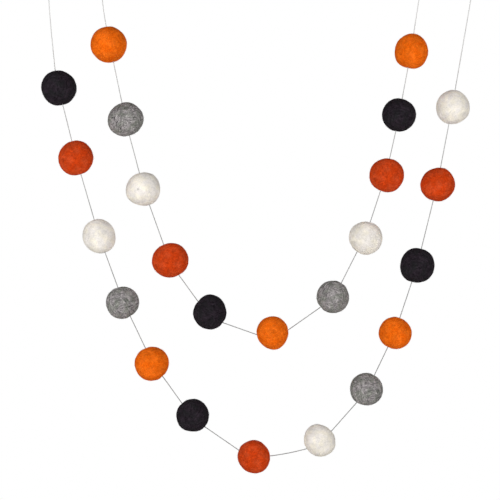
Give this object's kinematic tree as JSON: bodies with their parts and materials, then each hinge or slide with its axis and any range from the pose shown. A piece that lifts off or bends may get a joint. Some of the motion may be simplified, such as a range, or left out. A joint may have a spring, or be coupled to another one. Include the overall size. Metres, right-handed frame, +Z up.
{
  "type": "felt ball garland",
  "caption": "Felted wool balls in autumn colours threaded on one cotton string, hanging in an inner and an outer swag, with a tied loop at each end of the string.",
  "frame": {"origin": "on the line where the string bears on what holds it up, midway across the hanging garland", "axes": "+X to the right seen from the front, +Y away from the viewer towards the wall, +Z up"},
  "size_m": [0.3249, 0.0265, 0.3737],
  "materials": {
    "felt_orange": "matt wool felt, bright orange",
    "felt_burnt_orange": "matt wool felt, burnt orange",
    "felt_cream": "matt wool felt, undyed cream white",
    "felt_grey": "matt wool felt, mottled heather grey",
    "felt_black": "matt wool felt, charcoal black",
    "cotton_string": "twisted undyed cotton, slightly slubby"
  },
  "bodies": {
    "root": {"ball_inner_01_orange": "felt_orange", "ball_inner_02_black": "felt_black", "ball_inner_03_burnt_orange": "felt_burnt_orange", "ball_inner_04_cream": "felt_cream", "ball_inner_05_grey": "felt_grey", "ball_inner_06_orange": "felt_orange", "ball_inner_07_black": "felt_black", "ball_inner_08_burnt_orange": "felt_burnt_orange", "ball_inner_09_cream": "felt_cream", "ball_inner_10_grey": "felt_grey", "ball_inner_11_orange": "felt_orange", "ball_outer_01_black": "felt_black", "ball_outer_02_burnt_orange": "felt_burnt_orange", "ball_outer_03_cream": "felt_cream", "ball_outer_04_grey": "felt_grey", "ball_outer_05_orange": "felt_orange", "ball_outer_06_black": "felt_black", "ball_outer_07_burnt_orange": "felt_burnt_orange", "ball_outer_08_cream": "felt_cream", "ball_outer_09_grey": "felt_grey", "ball_outer_10_orange": "felt_orange", "ball_outer_11_black": "felt_black", "ball_outer_12_burnt_orange": "felt_burnt_orange", "ball_outer_13_cream": "felt_cream", "string": "cotton_string", "knot_inner": "cotton_string", "knot_outer": "cotton_string"}
  },
  "joints": []
}
